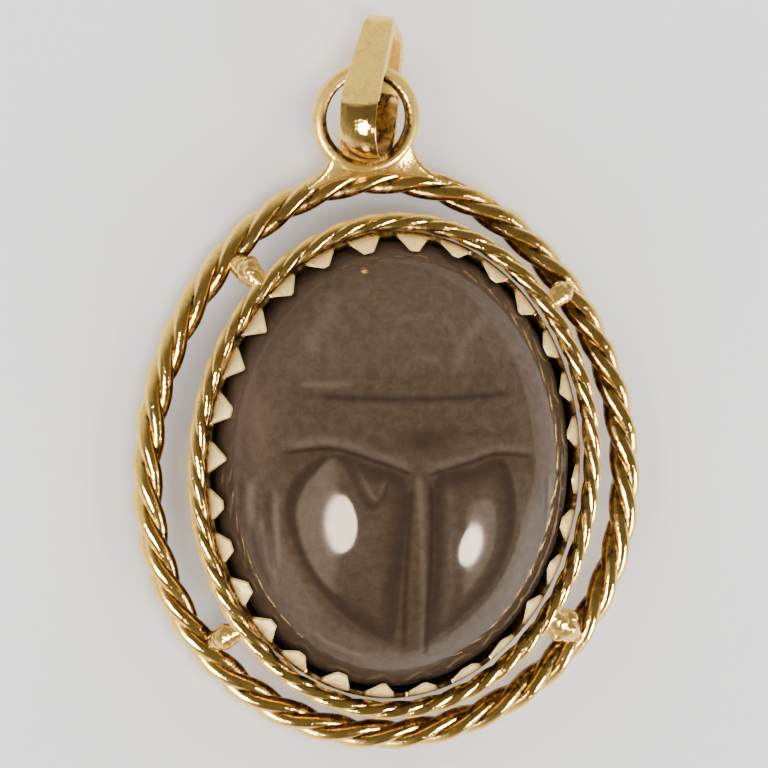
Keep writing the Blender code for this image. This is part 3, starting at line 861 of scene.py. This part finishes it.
def twisted_wire(name, line, thickness, crossings, flatness, node):
    """A closed twisted wire: strands that wind round one centre line, each pressed into the next."""
    settings = bpy.context.scene.pendant_wires
    turns_each = crossings // settings.strands
    sections = turns_each * SECTIONS_A_TURN
    radius = settings.strand * thickness
    offset = thickness / 2 - radius
    places = np.array([line(turn) for turn in even_turns(line, sections)])
    ahead = np.roll(places, -1, axis=0) - np.roll(places, 1, axis=0)
    ahead /= np.linalg.norm(ahead, axis=1)[:, None]
    outward = np.cross(ahead, (0.0, 0.0, 1.0))
    data = bpy.data.curves.new(name, "CURVE")
    data.dimensions = "3D"
    data.bevel_depth = radius
    data.bevel_resolution = 5
    for strand in range(settings.strands):
        turn = 2.0 * math.pi * (turns_each * np.arange(sections) / sections + strand / settings.strands)
        run = places + offset * (flatness * np.cos(turn)[:, None] * outward
                                 + np.sin(turn)[:, None] * np.array((0, 0, 1.0)))
        spline = data.splines.new("POLY")
        spline.points.add(sections - 1)
        spline.points.foreach_set("co", np.column_stack([run, np.ones(sections)]).ravel())
        spline.use_cyclic_u = True
    carrier = bpy.data.objects.new(name, data)
    bpy.context.scene.collection.objects.link(carrier)
    bpy.context.view_layer.update()
    graph = bpy.context.evaluated_depsgraph_get()
    made = bpy.data.meshes.new_from_object(carrier.evaluated_get(graph))
    bpy.data.objects.remove(carrier)
    work = bmesh.new()
    work.from_mesh(made)
    bmesh.ops.remove_doubles(work, verts=work.verts, dist=WELD)
    bmesh.ops.recalc_face_normals(work, faces=work.faces)
    work.to_mesh(made)
    work.free()
    points = places_of(made)
    away = np.full(len(points), np.inf)
    facing = np.zeros(len(points))
    for place, beyond in zip(places[::2], outward[::2]):
        off = points - place
        distance = np.linalg.norm(off, axis=1)
        closer = distance < away
        away[closer] = distance[closer]
        facing[closer] = (off[closer] @ beyond) / distance[closer]
    # Painted shade: the notches between strands, partly tarnish and partly shade, and the inward half that
    # faces the stone. Painted light: the outward half is made matte and pale, as lit.
    notch = offset / 2 + math.sqrt(radius**2 - 0.75 * offset**2)
    crease = 1.0 - soft_step((away - notch + 0.01 * MM) / (0.6 * (thickness / 2 - notch)))
    keep_number(made, "crease", np.maximum(crease, 0.95 * soft_step((-0.2 - facing) / 0.55)))
    keep_number(made, "matte_and_lit", soft_step((facing - 0.5) / 0.4))
    return finished_object(name, made, gold_look("polished"), node=node)


class PENDANT_OT_wires(bpy.types.Operator):
    """Twist the two wires round the bezel"""

    bl_idname = "pendant.wires"
    bl_label = "Twisted wires"

    def execute(self, context):
        settings = context.scene.pendant_wires
        twisted_wire("inner_wire", inner_wire_line, INNER_WIRE, settings.inner_crossings, 1.0, "inner_rope")
        twisted_wire("outer_wire", outer_wire_line, OUTER_WIRE, settings.outer_crossings, settings.flatness,
                     "outer_rope")
        return {"FINISHED"}


def nearest_on(line, place):
    """The point of a closed line nearest to a place."""
    return min((line(turn) for turn in np.linspace(0.0, 2.0 * math.pi, 721)),
               key=lambda point: (point - place).length)


def melt(context, work, detail, passes):
    """Run the overlapping parts of a bmesh together into one smooth skin."""
    bmesh.ops.recalc_face_normals(work, faces=work.faces)
    bmesh.ops.scale(work, vec=(1 / MM, 1 / MM, 1 / MM), verts=work.verts)
    rough = bpy.data.objects.new("parts", mesh_from(work, "parts"))
    context.scene.collection.objects.link(rough)
    blend = rough.modifiers.new("Blend", "REMESH")
    blend.mode = "VOXEL"
    blend.voxel_size = detail / MM
    context.view_layer.update()
    data = bpy.data.meshes.new_from_object(rough.evaluated_get(context.evaluated_depsgraph_get()))
    bpy.data.objects.remove(rough)
    work = bmesh.new()
    work.from_mesh(data)
    for _ in range(passes):
        bmesh.ops.smooth_vert(work, verts=work.verts, factor=0.5, use_axis_x=True, use_axis_y=True,
                              use_axis_z=True)
    bmesh.ops.scale(work, vec=(MM, MM, MM), verts=work.verts)
    work.to_mesh(data)
    work.free()
    return data


def drop_of(work, place, radius):
    """A round drop, to be melted into others."""
    made = bmesh.ops.create_icosphere(work, subdivisions=2, radius=radius)["verts"]
    bmesh.ops.translate(work, vec=place, verts=made)


class PENDANT_OT_balls(bpy.types.Operator):
    """Melt the four solder balls between the wires"""

    bl_idname = "pendant.balls"
    bl_label = "Solder balls"
    detail = 0.03 * MM
    melt_passes = 4
    # Each drop towards a wire: its way out from the middle and its size, as shares of the ball's radius
    necks = ((0.55, 1.0), (1.0, 0.85), (1.4, 0.7))

    def execute(self, context):
        chance = random.Random(11)
        for name, node in BALL_NODES.items():
            low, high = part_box(node)
            centre = (low + high) / 2
            radius = max(high - low) / 2
            work = bmesh.new()
            drop_of(work, centre, 1.15 * radius)
            for line in (inner_wire_line, outer_wire_line):
                way = (nearest_on(line, centre) - centre).normalized()
                for reach, size in self.necks:
                    drop_of(work, centre + way * (reach * radius), size * radius)
            for _ in range(3):
                way = Vector((chance.uniform(-1, 1), chance.uniform(-1, 1), chance.uniform(0.0, 0.9)))
                drop_of(work, centre + way.normalized() * (0.75 * radius), chance.uniform(0.5, 0.65) * radius)
            data = melt(context, work, self.detail, self.melt_passes)
            data.name = name
            places = places_of(data)
            # Painted shade on the ball's underside and painted light, as a paler matte skin, on its top.
            shaded_underside = soft_step((centre.z - places[:, 2]) / radius + 0.2)
            keep_number(data, "crease", 0.7 * shaded_underside)
            keep_number(data, "matte_and_lit", 0.35 * (1.0 - shaded_underside))
            finished_object(name, data, gold_look("bright"), node=node)
        return {"FINISHED"}


class PENDANT_OT_ring(bpy.types.Operator):
    """Bend the hanging ring and flow its soldered foot over the outer wire"""

    bl_idname = "pendant.ring"
    bl_label = "Hanging ring"
    melt_passes = 9
    # Each flow's reach along the outer wire in radians, its beads and the size of the first
    flows = ((-0.62, 36, 0.27 * MM), (0.3, 18, 0.24 * MM))
    # Each web's side, its opening on the ring and its reach along the outer wire
    webs = ((-1, math.radians(46), 0.29), (1, math.radians(64), 0.36))
    web_layers = 9
    web_beads = 20

    def execute(self, context):
        settings = context.scene.pendant_ring
        reach = (settings.outer - settings.wire) / 2
        centre = ring_centre()
        top = outer_wire_line(settings.turn)
        work = bmesh.new()
        circle = bmesh.ops.create_circle(work, segments=20, radius=settings.wire / 2)
        upright = Matrix.Rotation(math.pi / 2, 4, "X")
        bmesh.ops.transform(work, matrix=Matrix.Translation((reach, 0, 0)) @ upright, verts=circle["verts"])
        bmesh.ops.spin(work, geom=work.verts[:] + work.edges[:], cent=(0, 0, 0), axis=(0, 0, 1),
                       angle=2 * math.pi, steps=80, use_merge=True)
        bmesh.ops.remove_doubles(work, verts=work.verts, dist=WELD)
        bmesh.ops.translate(work, vec=centre, verts=work.verts)
        foot = bmesh.ops.create_uvsphere(work, u_segments=48, v_segments=24, radius=0.5)["verts"]
        size = Matrix.Diagonal((settings.foot_width, settings.foot_depth, settings.foot_height, 1.0))
        place = Vector((top.x, top.y + OUTER_WIRE / 2, (centre.z + top.z) / 2))
        bmesh.ops.transform(work, matrix=Matrix.Translation(place) @ size, verts=foot)
        self.flow_solder(work, settings)
        self.web_solder(work, settings, centre, reach)
        data = melt(context, work, settings.detail, self.melt_passes)
        data.name = "hanging_ring_soldered"
        places = places_of(data)
        off = places - np.array(centre)
        across = np.hypot(off[:, 0], off[:, 1])
        # Painted shade inside the ring and, fainter, near the outer wire; the outside is matte and paler, more
        # on its upper part, partly finish and partly painted light.
        inner = soft_step(((reach - across) / (settings.wire / 2) + 0.1) / 0.6) * (across > 0.3 * reach)
        low = 1.0 - soft_step((places[:, 1] - top.y) / (0.9 * MM))
        keep_number(data, "crease", np.maximum(0.2 * low, 0.95 * inner))
        upper = soft_step((off[:, 1] + 1.9 * MM) / (1.2 * MM))
        keep_number(data, "matte_and_lit", (1.0 - inner) * (0.45 + 0.55 * upper))
        finished_object("ring", data, gold_look("ring"), node="hanging_ring")
        return {"FINISHED"}

    def flow_solder(self, work, settings):
        """Beads of solder, run together, that thin out along the outer wire on both sides of the foot."""
        for reach, beads, size in self.flows:
            for bead in range(beads):
                share = (bead + 1) / beads
                turn = settings.turn + reach * share
                middle = outer_wire_line(turn)
                outward = Vector((math.cos(turn), math.sin(turn), 0.0))
                radius = size * (1.0 - 0.7 * share**0.8)
                lift = Vector((0.0, 0.0, 0.3 * OUTER_WIRE * (1.0 - 0.5 * share)))
                drop_of(work, middle + outward * (0.4 * OUTER_WIRE) + lift, radius)

    def web_solder(self, work, settings, centre, reach):
        """Webs of solder that fill the two corners between the ring and the outer wire."""
        contact = centre + Vector((0.0, -reach - 0.2 * MM, 0.0))
        for side, opening, along in self.webs:
            for layer in range(self.web_layers):
                share = 1.0 - layer / self.web_layers
                turn = side * opening * share - math.pi / 2
                start = centre + reach * Vector((math.cos(turn), math.sin(turn), 0.0))
                turn = settings.turn - side * along * share
                end = outer_wire_line(turn) + 0.22 * OUTER_WIRE * Vector((math.cos(turn), math.sin(turn), 0.8))
                corner = ((start + end) / 2).lerp(contact, 0.4)
                for bead in range(self.web_beads + 1):
                    t = bead / self.web_beads
                    place = start * (1 - t)**2 + corner * (2 * t * (1 - t)) + end * t**2
                    drop_of(work, place, (0.31 - 0.12 * t) * MM)


def hull_path(circles, steps):
    """Closed path drawn tightly round circles, each given as (x, y, radius), anticlockwise."""
    count = len(circles)
    leaving = []
    for at, (x, y, radius) in enumerate(circles):
        next_x, next_y, next_radius = circles[(at + 1) % count]
        apart = math.hypot(next_x - x, next_y - y)
        heading = math.atan2(next_y - y, next_x - x)
        leaving.append(heading - math.acos((radius - next_radius) / apart))
    path = []
    for at, (x, y, radius) in enumerate(circles):
        start = leaving[at - 1]
        sweep = (leaving[at] - start) % (2.0 * math.pi)
        for step in range(steps + 1):
            turn = start + sweep * step / steps
            path.append(Vector((x + radius * math.cos(turn), y + radius * math.sin(turn), 0.0)))
    return path


def ring_centre():
    """Centre of the hanging ring, from the frame's box."""
    settings = bpy.context.scene.pendant_ring
    return Vector(((RING_LOW.x + RING_HIGH.x) / 2, RING_HIGH.y - settings.outer / 2,
                   RING_HIGH.z - settings.wire / 2))


def bail_axes(settings, dip):
    """The bail's own directions when its top dips: depth from back limb to front, length and width."""
    level = math.cos(dip)
    length = Vector((math.sin(settings.swing) * level, math.cos(settings.swing) * level, -math.sin(dip)))
    upright = Vector((-math.sin(settings.lean), 0.0, math.cos(settings.lean)))
    depth = (upright - length * upright.dot(length)).normalized()
    return depth, length, depth.cross(length)


def bail_pose(settings):
    """Place and directions of the bail as it lies: bend over the ring's hole, top on the table."""
    place = ring_centre() + Vector(settings.from_ring)
    dip = 0.0
    for _ in range(20):
        depth, length, width = bail_axes(settings, dip)
        corner = (settings.corner + settings.strip / 2) * math.hypot(depth.z, length.z)
        corner += settings.top_flat / 2 * abs(depth.z) + settings.top_width / 2 * abs(width.z)
        dip = math.asin((place.z - BAIL_LOW.z - corner) / settings.reach)
    return place, bail_axes(settings, dip)


class PENDANT_OT_bail(bpy.types.Operator):
    """Fold the strip bail and hook it through the ring"""

    bl_idname = "pendant.bail"
    bl_label = "Strip bail"
    rows = 20
    path_steps = 72
    limb_cuts = 60
    satin_from = 1.45 * MM
    bend_dome = 0.14 * MM
    top_rounding = 0.34
    lap_run = 0.06 * MM
    matte_run = 0.1 * MM
    bulk_from = 1.0 * MM
    bulk_run = 0.8 * MM
    edge_round = 0.04 * MM

    def execute(self, context):
        settings = context.scene.pendant_bail
        corner_x = settings.top_flat / 2
        skin = settings.strip / 2
        circles = [(0.0, 0.0, settings.bend + skin), (corner_x, settings.reach, settings.corner + skin),
                   (-corner_x, settings.reach, settings.corner + skin)]
        work = bmesh.new()
        verts = [work.verts.new(place) for place in hull_path(circles, self.path_steps)]
        for at, vert in enumerate(verts):
            work.edges.new((vert, verts[(at + 1) % len(verts)]))
        long_edges = [edge for edge in work.edges if edge.calc_length() > settings.corner]
        bmesh.ops.subdivide_edges(work, edges=long_edges, cuts=self.limb_cuts)
        edges = work.edges[:]
        bmesh.ops.translate(work, vec=(0, 0, -settings.width / 2), verts=work.verts)
        for _ in range(self.rows):
            edges, fresh = grow(work, edges)
            bmesh.ops.translate(work, vec=(0, 0, settings.width / self.rows), verts=fresh)
        bmesh.ops.recalc_face_normals(work, faces=work.faces)
        for face in work.faces:
            middle = face.calc_center_median()
            front = middle.x > 0 and self.past_crease(settings, middle) > 0
            face.material_index = 0 if front or middle.y > self.satin_from else 1
        for vert in work.verts:
            past = self.past_crease(settings, vert.co)
            if vert.co.x > 0:
                vert.co.x += settings.lap * (float(soft_step(past / self.lap_run)) - 1.0)
            across = 2.0 * vert.co.z / settings.width
            swell = float(soft_step((0.2 * MM - vert.co.y) / (1.2 * MM))) * (1.0 - across**2)
            vert.co.xy *= 1.0 + self.bend_dome * swell / settings.bend
            share = min(1.0, max(0.0, vert.co.y / settings.reach))
            vert.co.z *= 1.0 + share * (settings.top_width / settings.width - 1.0)
            top = (vert.co.y - settings.reach + 0.25 * MM) / (settings.corner + skin + 0.25 * MM)
            vert.co.z *= 1.0 - self.top_rounding * min(1.0, max(0.0, top))**2.5
        limb = [min(1.0, max(0.0, self.past_crease(settings, vert.co) / self.matte_run))
                for vert in work.verts]
        bulk = [0.5 + 0.5 * float(soft_step((vert.co.y - self.bulk_from) / self.bulk_run))
                for vert in work.verts]
        place, axes = bail_pose(settings)
        turned = Matrix(axes).transposed().to_4x4()
        bmesh.ops.transform(work, matrix=Matrix.Translation(place) @ turned, verts=work.verts)
        data = mesh_from(work, "bail_strip")
        keep_number(data, "crease", np.zeros(len(data.vertices)))
        keep_number(data, "matte_and_lit", limb)
        # The inner shell below the top, away from the front limb, takes the inside look, painted dark as shade.
        made = finished_object("bail_loop", data, gold_look("bright"), gold_look("bright"), gold_look("satin"),
                               gold_look("inside"), node="bail")
        group = made.vertex_groups.new(name="bulk")
        for index, weight in enumerate(bulk):
            group.add([index], weight, "REPLACE")
        wall = made.modifiers.new("Strip", "SOLIDIFY")
        wall.thickness = 2.0 * settings.strip
        wall.vertex_group = group.name
        wall.offset = -1.0
        wall.material_offset = 2
        soften = made.modifiers.new("Edge", "BEVEL")
        soften.width = self.edge_round
        soften.segments = 2
        soften.limit_method = "ANGLE"
        soften.angle_limit = math.radians(50)
        return {"FINISHED"}

    def past_crease(self, settings, place):
        """How far a place on the unbent strip lies beyond the curved end of the flat limb."""
        across = 2.0 * place.z / settings.width
        return place.y - settings.crease - 0.16 * MM * across**2 + 0.05 * MM * across


# The camera's way and target, and each softbox's name, way, long side and size
CAMERA_WAY = (-0.28, 0.16, 1.0)
CAMERA_TARGET = (0.043 * MM, 3.3 * MM, 0.588 * MM)
SOFTBOXES = (
    ("softbox_left", (-0.4655, -0.4094, 0.7847), (-0.101, 0.905, 0.412), (59 * MM, 79 * MM)),
    ("softbox_right", (0.64, -0.5255, 0.5605), (0.009, 0.735, 0.678), (45 * MM, 51 * MM)),
)
SOFTBOX_DISTANCE = 200 * MM
FILL_SIZE = 300 * MM
FILL_DISTANCE = 500 * MM
FILL_RISE = 0.42
# The surround is bright up to this height of a way's unit length, and dims over the next
HORIZON = 0.15
HORIZON_FADE = 0.25
SURROUND_COLOUR = (1.0, 0.94, 0.84, 1.0)


class PENDANT_OT_stage(bpy.types.Operator):
    """Set the floor, the lights and the camera"""

    bl_idname = "pendant.stage"
    bl_label = "Stage"

    def execute(self, context):
        settings = context.scene.pendant_stage
        self.make_floor(context, settings)
        self.make_surround(context, settings)
        toward = Vector(CAMERA_WAY).normalized()
        up = (Vector((0.0, 1.0, 0.0)) - toward * toward.y).normalized()
        right = up.cross(toward)
        self.make_camera(context, settings, toward, up, right, Vector(CAMERA_TARGET))
        for name, way, tall, size in SOFTBOXES:
            self.make_softbox(context, name, way, tall, size, settings)
        for side in range(4):
            turn = math.radians(45 + 90 * side)
            self.make_fill(context, "fill_%d" % (side + 1), Vector((math.cos(turn), math.sin(turn), FILL_RISE)),
                           settings.fill)
        self.make_fill(context, "fill_top", Vector((0.0, 0.0, 1.0)), settings.fill_top)
        return {"FINISHED"}

    def make_fill(self, context, name, way, brightness):
        """A broad light for the floor, kept out of the gold's reflections."""
        data = bpy.data.lights.new(name, "AREA")
        data.size = FILL_SIZE
        data.energy = brightness * math.pi * data.size**2
        lamp = bpy.data.objects.new(name, data)
        context.scene.collection.objects.link(lamp)
        turned = way.normalized().to_track_quat("Z", "Y").to_matrix().to_4x4()
        lamp.matrix_world = Matrix.Translation(way.normalized() * FILL_DISTANCE) @ turned
        lamp.visible_glossy = False

    def make_floor(self, context, settings):
        """A pale floor with a faint cloth-like grain."""
        work = bmesh.new()
        bmesh.ops.create_grid(work, x_segments=8, y_segments=8, size=1.5)
        floor = bpy.data.objects.new("floor", mesh_from(work, "floor"))
        context.scene.collection.objects.link(floor)
        finish = Finish("floor")
        grain = finish.noise(0.02, 2.0, 0.5)
        worn = [0.985 * channel for channel in settings.floor]
        floor.data.materials.append(finish.set(Base_Color=finish.mix(grain, worn, settings.floor),
                                               Roughness=0.85))

    def make_surround(self, context, settings):
        """Soft light from all round, dimmer overhead."""
        world = bpy.data.worlds.new("surround")
        world.use_nodes = True
        context.scene.world = world
        tree = world.node_tree
        place = tree.nodes.new("ShaderNodeTexCoord")
        split = tree.nodes.new("ShaderNodeSeparateXYZ")
        tree.links.new(place.outputs["Generated"], split.inputs[0])
        height = Wave(tree, split.outputs[2])
        low = (1.0 - (height - HORIZON) / HORIZON_FADE).clamped()
        strength = low * (settings.surround - settings.overhead) + settings.overhead
        tree.links.new(strength.socket, tree.nodes["Background"].inputs["Strength"])
        tree.nodes["Background"].inputs["Color"].default_value = SURROUND_COLOUR

    def make_camera(self, context, settings, toward, up, right, target):
        """The camera, a little left of straight above the pendant."""
        data = bpy.data.cameras.new("camera")
        data.sensor_width = 36.0
        data.lens = data.sensor_width * settings.distance / settings.field
        data.clip_start = 0.01
        data.clip_end = 10.0
        camera = bpy.data.objects.new("camera", data)
        context.scene.collection.objects.link(camera)
        camera_right = right * math.cos(settings.roll) - up * math.sin(settings.roll)
        camera_up = right * math.sin(settings.roll) + up * math.cos(settings.roll)
        turned = Matrix((camera_right, camera_up, toward)).transposed().to_4x4()
        camera.matrix_world = Matrix.Translation(target + toward * settings.distance) @ turned
        context.scene.camera = camera

    def make_softbox(self, context, name, way, tall, size, settings):
        """A small oval softbox, which shows only where the polish mirrors it."""
        way = Vector(way).normalized()
        tall = (Vector(tall) - way * way.dot(Vector(tall))).normalized()
        data = bpy.data.lights.new(name, "AREA")
        data.shape = "ELLIPSE"
        data.size, data.size_y = size
        data.energy = settings.softbox * math.pi * math.pi / 4 * data.size * data.size_y
        data.color = (1.0, 0.98, 0.95)
        lamp = bpy.data.objects.new(name, data)
        context.scene.collection.objects.link(lamp)
        turned = Matrix((tall.cross(way), tall, way)).transposed().to_4x4()
        lamp.matrix_world = Matrix.Translation(way * SOFTBOX_DISTANCE) @ turned
        lamp.visible_diffuse = False


class PENDANT_PT_panel(bpy.types.Panel):
    """Pieces of the pendant, each with its button"""

    bl_idname = "PENDANT_PT_panel"
    bl_label = "Scarab pendant"
    bl_space_type = "VIEW_3D"
    bl_region_type = "UI"
    bl_category = "Pendant"

    def draw(self, context):
        for operator in OPERATORS:
            self.layout.operator(operator.bl_idname)


SETTINGS = {
    "pendant_stone": StoneSettings,
    "pendant_gold": GoldSettings,
    "pendant_bezel": BezelSettings,
    "pendant_wires": WireSettings,
    "pendant_ring": RingSettings,
    "pendant_bail": BailSettings,
    "pendant_stage": StageSettings,
}
OPERATORS = (
    PENDANT_OT_stage,
    PENDANT_OT_stone,
    PENDANT_OT_bezel,
    PENDANT_OT_wires,
    PENDANT_OT_balls,
    PENDANT_OT_ring,
    PENDANT_OT_bail,
)


def register():
    """Make the settings, the operators and the panel known."""
    for name, group in SETTINGS.items():
        bpy.utils.register_class(group)
        setattr(bpy.types.Scene, name, PointerProperty(type=group))
    for operator in OPERATORS:
        bpy.utils.register_class(operator)
    bpy.utils.register_class(PENDANT_PT_panel)


def unregister():
    """Take them back out, in the other order."""
    bpy.utils.unregister_class(PENDANT_PT_panel)
    for operator in reversed(OPERATORS):
        bpy.utils.unregister_class(operator)
    for name, group in reversed(SETTINGS.items()):
        delattr(bpy.types.Scene, name)
        bpy.utils.unregister_class(group)


def main():
    """Build every piece in order."""
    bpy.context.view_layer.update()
    register()
    bpy.ops.pendant.stage()
    bpy.ops.pendant.stone()
    bpy.ops.pendant.bezel()
    bpy.ops.pendant.wires()
    bpy.ops.pendant.balls()
    bpy.ops.pendant.ring()
    bpy.ops.pendant.bail()
    bpy.context.view_layer.update()


if __name__ == "__main__":
    main()
